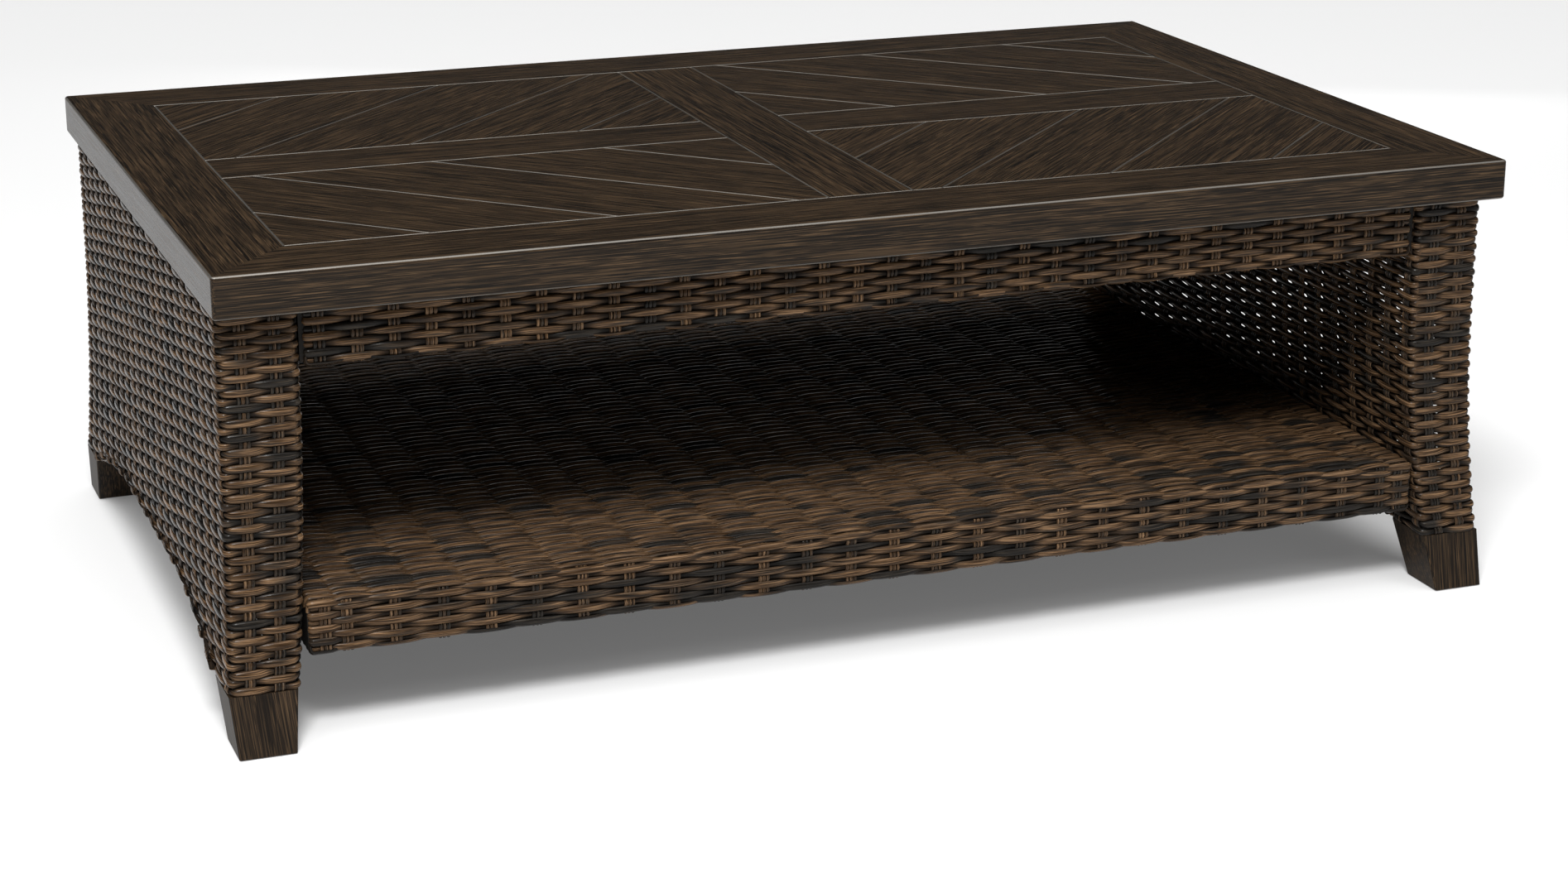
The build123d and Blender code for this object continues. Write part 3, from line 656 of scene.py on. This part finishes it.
def mixed(tree, factor, a, b):
    """Colour a going over to colour b as the factor goes from 0 to 1; each may be a socket or a value."""
    node = add_node(tree, "ShaderNodeMix", data_type="RGBA")
    for socket, value in ((node.inputs[0], factor), (node.inputs[6], a), (node.inputs[7], b)):
        if isinstance(value, bpy.types.NodeSocket):
            tree.links.new(value, socket)
        else:
            socket.default_value = value if isinstance(value, float) else (*value, 1)
    return node.outputs[2]


def added(tree, a, b):
    """The sum of two values."""
    node = add_node(tree, "ShaderNodeMath", operation="ADD")
    tree.links.new(a, node.inputs[0])
    tree.links.new(b, node.inputs[1])
    return node.outputs[0]


def bumped(tree, shader, height, strength, distance):
    bump = add_node(tree, "ShaderNodeBump")
    bump.inputs["Strength"].default_value = strength
    bump.inputs["Distance"].default_value = distance
    tree.links.new(height, bump.inputs["Height"])
    tree.links.new(bump.outputs["Normal"], shader.inputs["Normal"])


def wicker_material():
    """Resin wicker: brown strands with charcoal stretches and fine lengthwise fibres, darkened by painted
    shade where strands lie against and dive under their neighbours.
    """
    material, tree, shader = new_material("wicker_strand")
    fibre = add_node(tree, "ShaderNodeAttribute", attribute_name="fibre").outputs["Vector"]
    tone = add_node(tree, "ShaderNodeAttribute", attribute_name="tone").outputs["Fac"]
    hollow = add_node(tree, "ShaderNodeAttribute", attribute_name="hollow").outputs["Fac"]
    streak = noise(tree, stretched(tree, fibre, (0.035, 0.0009, 1.0)), 3.0, 0.6)
    blotch = noise(tree, stretched(tree, fibre, (0.05, 0.006, 1.0)), 2.0, 0.5)
    brown = ramp(tree, streak, (0.34, (0.012, 0.0063, 0.0031)), (0.5, (0.055, 0.0308, 0.0152)),
                 (0.66, (0.200, 0.119, 0.063)))
    charcoal = ramp(tree, streak, (0.36, (0.0045, 0.0038, 0.0032)), (0.54, (0.0125, 0.0106, 0.0088)),
                    (0.68, (0.046, 0.036, 0.026)))
    patches = mixed(tree, spread(tree, blotch, 0.0, 0.85, 0.5, 0.66), brown, charcoal)
    colour = mixed(tree, tone, patches, charcoal)
    # painted shade: the colour goes over to near black as hollow rises, in the crevices between strands and
    # where they dive
    shaded = mixed(tree, spread(tree, hollow, 0.0, 0.88, 0.08, 0.95), colour, (0.0015, 0.0011, 0.0008))
    tree.links.new(shaded, shader.inputs["Base Color"])
    dull = added(tree, spread(tree, streak, 0.15, 0.28), spread(tree, hollow, 0.0, 0.5, 0.2, 1.0))
    tree.links.new(dull, shader.inputs["Roughness"])
    shader.inputs["Specular IOR Level"].default_value = 0.11
    bumped(tree, shader, streak, 0.4, 0.0003)
    return material


def worn_edges(tree):
    """A mask of the bevels and rounded edges: faces that are neither level nor upright."""
    normal = add_node(tree, "ShaderNodeNewGeometry").outputs["True Normal"]
    split = add_node(tree, "ShaderNodeSeparateXYZ")
    tree.links.new(normal, split.inputs["Vector"])
    slope = add_node(tree, "ShaderNodeMath", operation="ABSOLUTE")
    tree.links.new(split.outputs["Z"], slope.inputs[0])
    rising = spread(tree, slope.outputs[0], 0.0, 1.0, 0.4, 0.6)
    falling = spread(tree, slope.outputs[0], 1.0, 0.0, 0.8, 0.92)
    both = add_node(tree, "ShaderNodeMath", operation="MULTIPLY")
    tree.links.new(rising, both.inputs[0])
    tree.links.new(falling, both.inputs[1])
    return both.outputs[0]


def lean(node):
    """How far a foot's outer faces move along x and y for each metre of height."""
    points = np.array([vertex.co for vertex in NODES[node].data.vertices])
    height = points[:, 2]
    outer = np.sign(points.mean(axis=0))
    low = (points[height < height.min() + MM] * outer).max(axis=0)
    high = (points[height > height.max() - MM] * outer).max(axis=0)
    return (outer * (high - low) / np.ptp(height))[:2]


def sheared(tree, source, slope):
    """Coordinates that lean with a foot, so that its grain keeps to its sloping faces."""
    split = add_node(tree, "ShaderNodeSeparateXYZ")
    tree.links.new(source, split.inputs["Vector"])
    shift = add_node(tree, "ShaderNodeVectorMath", operation="SCALE")
    shift.inputs[0].default_value = (-slope[0], -slope[1], 0)
    tree.links.new(split.outputs["Z"], shift.inputs["Scale"])
    total = add_node(tree, "ShaderNodeVectorMath", operation="ADD")
    tree.links.new(source, total.inputs[0])
    tree.links.new(shift.outputs["Vector"], total.inputs[1])
    return total.outputs["Vector"]


def board_material(name, turn, seed, foot=False):
    """Dark brushed wood-look paint on metal; the grain runs along x turned by turn, or up a foot."""
    material, tree, shader = new_material(name)
    place = (0.37 * seed, 0.91 * seed, 0.53 * seed)
    own = add_node(tree, "ShaderNodeTexCoord").outputs["Object"]
    if foot:
        own = sheared(tree, own, lean(name))
    sizes = ((0.45, 0.022, 0.022), (0.13, 0.0015, 0.0015), (0.045, 0.0009, 0.0009))
    broad, grain, fine = (
        noise(tree, stretched(tree, own, size[::-1] if foot else size, turn, place), detail, 0.6)
        for size, detail in zip(sizes, (3.0, 4.0, 2.0)))
    base = ramp(tree, broad, (0.35, (0.0028, 0.0020, 0.0013)), (0.65, (0.0085, 0.0055, 0.0033)))
    streaks = ramp(tree, grain, (0.46, (0, 0, 0)), (0.56, (0.35, 0.35, 0.35)), (0.68, (1, 1, 1)))
    lit = mixed(tree, streaks, base, (0.050, 0.0305, 0.0155))
    dashes = ramp(tree, fine, (0.56, (0, 0, 0)), (0.68, (0.7, 0.7, 0.7)))
    colour = mixed(tree, dashes, lit, (0.092, 0.056, 0.029))
    smooth, rough = (0.42, 0.55) if foot else (0.22, 0.34)
    dull = spread(tree, grain, smooth, rough)
    if not foot:
        edges = worn_edges(tree)
        colour = mixed(tree, edges, colour, WORN_METAL)
        tree.links.new(edges, shader.inputs["Metallic"])
        dull = added(tree, dull, spread(tree, edges, 0.0, 0.3, 0.0, 1.0))
    tree.links.new(colour, shader.inputs["Base Color"])
    tree.links.new(dull, shader.inputs["Roughness"])
    shader.inputs["Specular IOR Level"].default_value = 0.13
    bumped(tree, shader, grain, 0.25, 0.0002)
    return material


def metal_material(name, colour, roughness, metallic):
    """Plain or painted metal with a faint drawn grain and darker patches."""
    material, tree, shader = new_material(name)
    own = add_node(tree, "ShaderNodeTexCoord").outputs["Object"]
    patch = noise(tree, stretched(tree, own, (0.05, 0.05, 0.05)), 3.0)
    drawn = noise(tree, stretched(tree, own, (0.03, 0.001, 0.001)), 2.0)
    dark = tuple(0.7 * c for c in colour)
    tree.links.new(ramp(tree, patch, (0.3, dark), (0.7, colour)), shader.inputs["Base Color"])
    tree.links.new(spread(tree, drawn, roughness - 0.06, roughness + 0.1), shader.inputs["Roughness"])
    shader.inputs["Metallic"].default_value = metallic
    shader.inputs["Specular IOR Level"].default_value = 0.15
    bumped(tree, shader, drawn, 0.1, 0.0001)
    return material


def plastic_material(name, colour):
    """Moulded plastic with a fine sandblasted surface."""
    material, tree, shader = new_material(name)
    own = add_node(tree, "ShaderNodeTexCoord").outputs["Object"]
    speckle = noise(tree, stretched(tree, own, (0.001, 0.001, 0.001)), 2.0)
    dark = tuple(0.8 * c for c in colour)
    tree.links.new(ramp(tree, speckle, (0.35, dark), (0.65, colour)), shader.inputs["Base Color"])
    tree.links.new(spread(tree, speckle, 0.45, 0.6), shader.inputs["Roughness"])
    bumped(tree, shader, speckle, 0.2, 0.0001)
    return material


def give(node, material):
    """Give a CAD node its material in every slot it has."""
    thing = NODES[node]
    if not thing.data.materials:
        thing.data.materials.append(material)
    for slot in thing.material_slots:
        slot.material = material


def finish_nodes():
    """Materials for the CAD nodes that stay in view."""
    along_y = math.pi / 2
    turns = {"top_rail_left": along_y, "top_rail_right": along_y, "top_cross_rail": along_y}
    frame_metal = metal_material("frame_metal", (0.008, 0.0065, 0.005), 0.6, 0.0)
    steel = metal_material("bolt_steel", (0.42, 0.41, 0.40), 0.35, 1.0)
    glides = plastic_material("glide_plastic", (0.02, 0.02, 0.02))
    for seed, name in enumerate(sorted(NODES)):
        if "weave" in name:
            continue
        if name.startswith("slat_"):
            end, side = name.split("_")[1:3]
            turn = -math.pi / 4 if (end == "front") == (side == "left") else math.pi / 4
            give(name, board_material(name, turn, seed))
        elif name.startswith("top_") and name != "top_bolts":
            give(name, board_material(name, turns.get(name, 0.0), seed))
        elif name.startswith("foot_") and name not in ("foot_bolts", "foot_glides"):
            give(name, board_material(name, 0.0, seed, foot=True))
        elif name.endswith("bolts"):
            give(name, steel)
        elif name == "foot_glides":
            give(name, glides)
        else:
            give(name, frame_metal)


# ------------------------------------------------------------------ studio
CAMERA_PLACE = (-1.0983, -2.9976, 1.1257)
CAMERA_LENS = 73.06
CAMERA_PITCH = 17.656       # degrees down
CAMERA_AZIMUTH = 20.684     # degrees to the right of straight on
FLOOR_SIZE = 40.0
FLOOR_GREY = 0.64
FLOOR_GLOW = 0.13           # the floor is a light table, so shadows on it stay soft grey
HORIZON_GLOW = 0.4          # the studio is bright low down all round, and dark above
SKY_GLOW = 0.02
HORIZON_RISE = (0.02, 0.11) # the sines of elevation between which the one falls to the other


# Each light's name, kind, place, aim, power and other settings. The back light is low, and shows as
# thin arcs on the strands of the shelf.
LIGHTS = (
    ("overhead", "SUN", (-0.3, -0.6, 4.0), (0, 0, 0), 3.2, dict(angle=math.radians(90))),
    ("key", "AREA", (-1.2, -2.5, 3.3), (0, 0, 0.2), 165.0, dict(size=1.0)),
    ("fill", "AREA", (2.4, -3.6, 1.8), (0.2, 0, 0.2), 16.0, dict(size=1.8)),
    ("back", "AREA", (1.1, 2.2, 0.32), (0.1, 0.2, 0.15), 2.2,
     dict(shape="RECTANGLE", size=2.4, size_y=0.32)),
)


def add_light(name, kind, place, aim, energy, settings):
    light = bpy.data.lights.new(name, kind)
    light.energy = energy
    for key, value in settings.items():
        setattr(light, key, value)
    lamp = bpy.data.objects.new(name, light)
    lamp.location = place
    lamp.rotation_euler = (Vector(aim) - Vector(place)).to_track_quat("-Z", "Y").to_euler()
    bpy.context.scene.collection.objects.link(lamp)


def make_studio():
    scene = bpy.context.scene
    scene.view_settings.view_transform = "Standard"
    camera = bpy.data.objects.new("camera", bpy.data.cameras.new("camera"))
    camera.data.lens = CAMERA_LENS
    camera.data.sensor_width = 36.0
    camera.data.sensor_fit = "HORIZONTAL"
    camera.data.clip_end = 100.0
    camera.location = CAMERA_PLACE
    camera.rotation_euler = (math.radians(90 - CAMERA_PITCH), 0, -math.radians(CAMERA_AZIMUTH))
    scene.collection.objects.link(camera)
    scene.camera = camera

    bpy.ops.mesh.primitive_plane_add(size=FLOOR_SIZE)
    floor = bpy.context.object
    floor.name = "floor"
    material, tree, shader = new_material("floor_paint")
    shader.inputs["Base Color"].default_value = (FLOOR_GREY, FLOOR_GREY, FLOOR_GREY, 1)
    shader.inputs["Emission Color"].default_value = (1, 1, 1, 1)
    shader.inputs["Emission Strength"].default_value = FLOOR_GLOW
    shader.inputs["Roughness"].default_value = 0.8
    shader.inputs["Specular IOR Level"].default_value = 0.1
    floor.data.materials.append(material)

    world = bpy.data.worlds.new("studio")
    world.use_nodes = True
    tree = world.node_tree
    direction = add_node(tree, "ShaderNodeTexCoord").outputs["Generated"]
    split = add_node(tree, "ShaderNodeSeparateXYZ")
    tree.links.new(direction, split.inputs["Vector"])
    glow = spread(tree, split.outputs["Z"], HORIZON_GLOW, SKY_GLOW, *HORIZON_RISE)
    tree.links.new(glow, tree.nodes["Background"].inputs["Strength"])
    tree.nodes["Background"].inputs["Color"].default_value = (1, 1, 1, 1)
    scene.world = world
    for name, kind, place, aim, energy, settings in LIGHTS:
        add_light(name, kind, place, aim, energy, settings)


make_studio()
WICKER = wicker_material()
weave_panel("left", 100)
weave_panel("right", 200)
weave_apron("front", 300)
weave_apron("back", 310)
weave_shelf(400)
finish_nodes()
